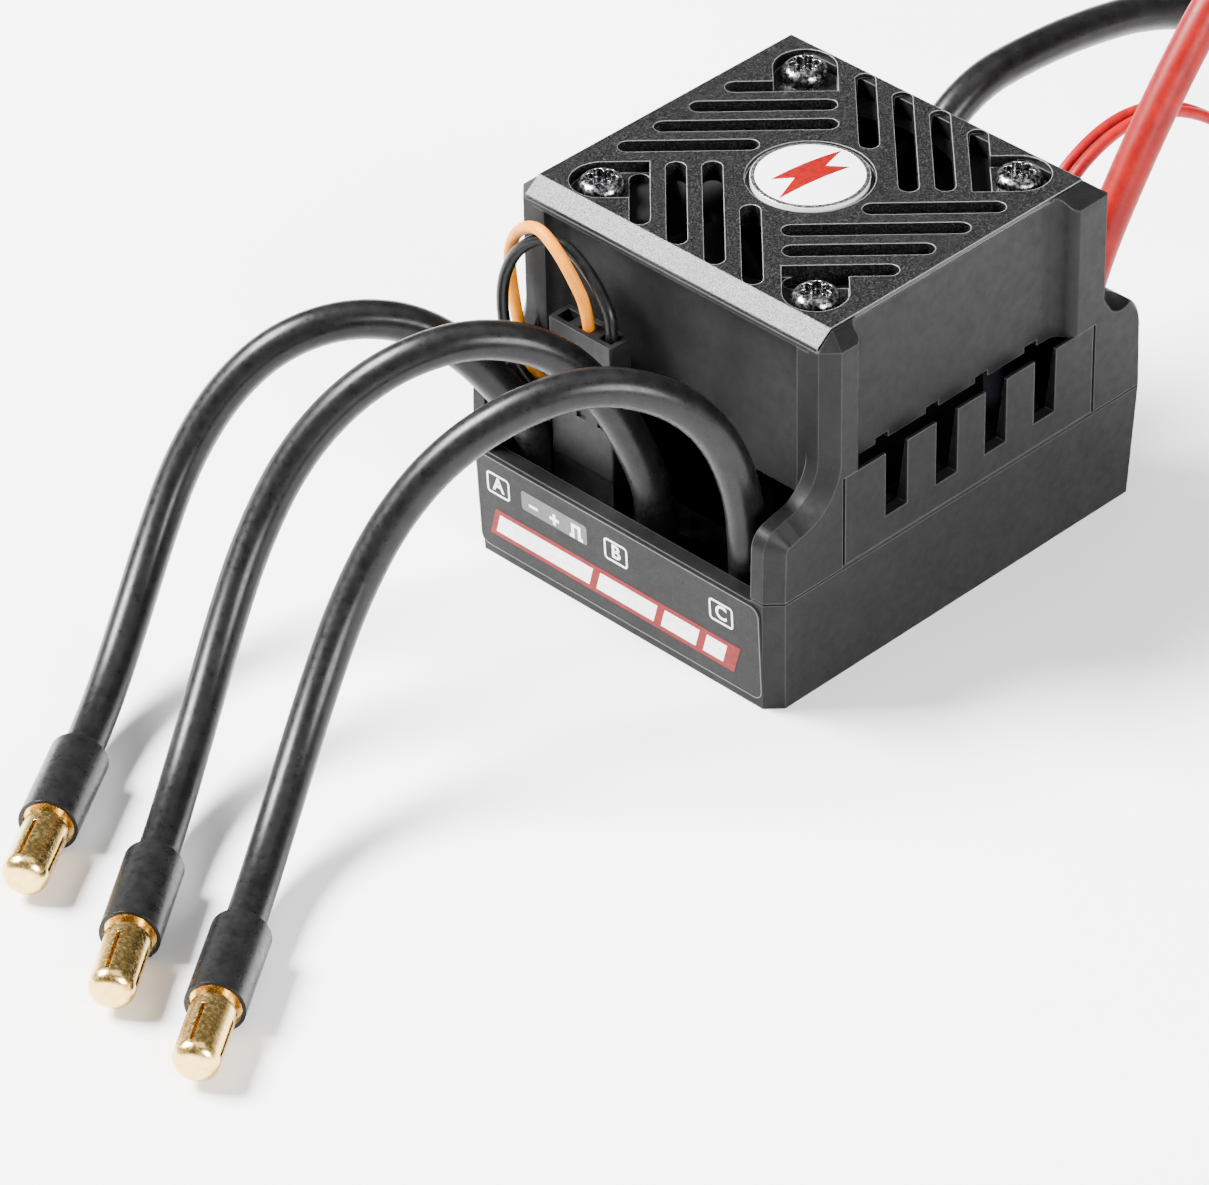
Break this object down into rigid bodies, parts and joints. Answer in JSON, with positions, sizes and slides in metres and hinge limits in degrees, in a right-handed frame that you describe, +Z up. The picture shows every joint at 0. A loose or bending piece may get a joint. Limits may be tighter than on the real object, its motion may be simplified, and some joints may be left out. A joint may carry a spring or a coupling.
{
  "type": "electronic speed controller",
  "caption": "Fan-cooled brushless motor speed controller: potted case, vented tower with fan guard, motor and battery leads, power switch.",
  "frame": {"origin": "centre of the case's footprint on the surface it stands on", "axes": "+Z up through the fan; -Y to the front, where the motor leads leave; +Y to the back, where the battery and switch leads leave"},
  "size_m": [0.0701, 0.2059, 0.0486],
  "materials": {
    "black_plastic": "fine satin moulded",
    "guard_plastic": "coarse sand texture",
    "badge_face": "glossy dome with a red symbol",
    "black_steel": "black oxide",
    "label_film": "printed film",
    "fan_plastic": "moulded",
    "bronze": "sintered bronze",
    "copper_core": "wound steel core",
    "steel": "ground",
    "magnet": "bonded ferrite",
    "circuit_board": "solder mask",
    "chip_epoxy": "moulded epoxy",
    "pad_silicone": "soft silicone",
    "anodised_aluminium": "black anodised",
    "capacitor_sleeve": "shrunk sleeve",
    "solder": "bright tin",
    "potting_resin": "cured resin",
    "header_plastic": "moulded",
    "silicone_black": "silicone",
    "silicone_red": "silicone",
    "wire_orange": "thin insulation",
    "wire_black": "thin insulation",
    "wire_red": "thin insulation",
    "sleeve_black": "heat-shrink",
    "sleeve_red": "heat-shrink",
    "gold_contact": "gold plate",
    "connector_nylon": "glass-filled nylon",
    "switch_plastic": "moulded",
    "slider_red": "moulded"
  },
  "bodies": {
    "root": {"lower_case": "black_plastic", "upper_case": "black_plastic", "side_vent_right": "black_plastic", "side_vent_left": "black_plastic", "fan_guard": "guard_plastic", "badge": "badge_face", "guard_screws": "black_steel", "case_screws": "black_steel", "front_label": "label_film", "fan_frame": "fan_plastic", "fan_bearing": "bronze", "fan_stator": "copper_core", "power_board": "circuit_board", "mosfets": "chip_epoxy", "thermal_pad": "pad_silicone", "heat_sink": "anodised_aluminium", "capacitors": "capacitor_sleeve", "microcontroller": "chip_epoxy", "gate_drivers": "chip_epoxy", "solder_tabs": "solder", "port_header": "header_plastic", "fan_plug": "header_plastic", "battery_sleeve_red": "sleeve_red", "battery_sleeve_black": "sleeve_black", "battery_contacts": "gold_contact", "battery_connector": "connector_nylon", "battery_lead_red": "silicone_red", "battery_lead_black": "silicone_black", "switch_lead_1": "wire_red", "switch_lead_2": "wire_red", "fan_lead_orange": "wire_orange", "fan_lead_black": "wire_black", "switch_body": "switch_plastic", "potting": "potting_resin", "motor_lead_a": "silicone_black", "motor_sleeve_a": "sleeve_black", "motor_bullet_a": "gold_contact", "motor_lead_b": "silicone_black", "motor_sleeve_b": "sleeve_black", "motor_bullet_b": "gold_contact", "motor_lead_c": "silicone_black", "motor_sleeve_c": "sleeve_black", "motor_bullet_c": "gold_contact"},
    "fan": {"fan_rotor": "fan_plastic", "fan_shaft": "steel", "fan_magnet": "magnet"},
    "slider": {"switch_slider": "slider_red"}
  },
  "joints": [
    {"name": "fan_spin", "type": "hinge", "parent": "root", "child": "fan", "pos_m": [0, 0.00095, 0.0295], "axis": [0, 0, 1], "continuous": true},
    {"name": "switch_slide", "type": "slide", "parent": "root", "child": "slider", "axis": [0, 1, 0], "range_m": [0, 0.003]}
  ]
}
